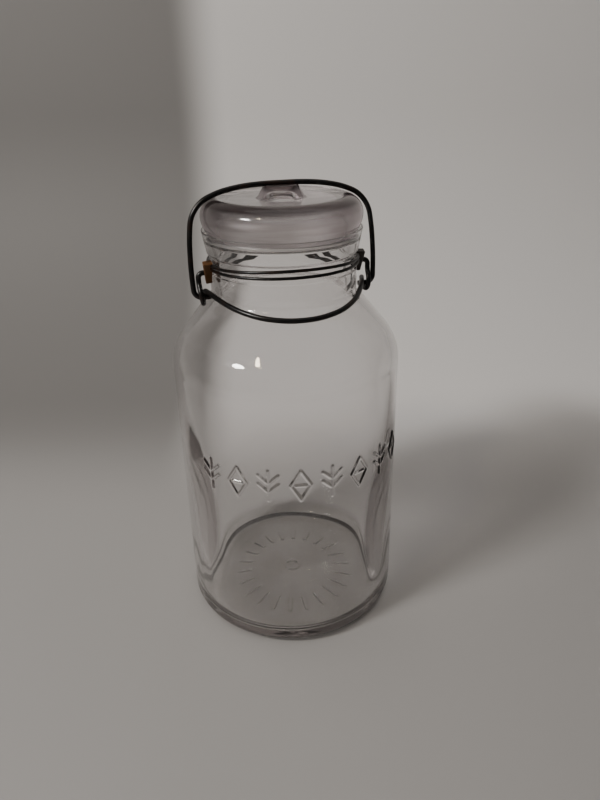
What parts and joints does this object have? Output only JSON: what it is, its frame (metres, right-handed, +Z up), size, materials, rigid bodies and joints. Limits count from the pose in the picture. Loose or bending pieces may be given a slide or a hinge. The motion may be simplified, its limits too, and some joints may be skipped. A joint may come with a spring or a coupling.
{
  "type": "wire bail storage jar",
  "caption": "Clear glass storage jar with a glass lid on a rubber seal, held shut by a wire bail that a front lever pulls down.",
  "frame": {"origin": "centre of the ring that the jar stands on, at the surface below it", "axes": "+Z up along the jar's axis; -Y is the front, where the lever's loop is; the pivots are at -X and +X"},
  "size_m": [0.1244, 0.1244, 0.2439],
  "materials": {
    "jar_glass": "clear pressed glass with a faint violet cast",
    "lid_glass": "clear pressed glass, a little more violet than the jar",
    "seal_rubber": "aged pale rubber",
    "neck_wire_steel": "blackened steel wire, worn",
    "clip_rust": "rusted sheet steel",
    "clip_dark": "blackened sheet steel with some rust",
    "closure_wire_steel": "blackened steel wire, satin"
  },
  "bodies": {
    "jar": {"jar": "jar_glass", "seal_ring": "seal_rubber", "neck_wire_upper": "neck_wire_steel", "neck_wire_lower": "neck_wire_steel", "side_clip_left": "clip_rust", "side_clip_right": "clip_dark"},
    "lever": {"lever_wire": "closure_wire_steel"},
    "bail": {"bail_wire": "closure_wire_steel"},
    "lid": {"lid": "lid_glass"}
  },
  "joints": [
    {"name": "lever_swing", "type": "hinge", "parent": "jar", "child": "lever", "pos_m": [0, -0.0045, 0.203], "axis": [-1, 0, 0], "range_deg": [0, 45]},
    {"name": "bail_swing", "type": "hinge", "parent": "lever", "child": "bail", "pos_m": [0, -0.0055, 0.191], "axis": [-1, 0, 0], "range_deg": [-36, 0]},
    {"name": "lid_lift", "type": "slide", "parent": "jar", "child": "lid", "axis": [0, 0, 1], "range_m": [0, 0.001]}
  ],
  "couplings": [
    {"joint": "lever_swing", "follows": "lid_lift", "rad_per_m": 785.4},
    {"joint": "bail_swing", "follows": "lid_lift", "rad_per_m": -628.32}
  ]
}
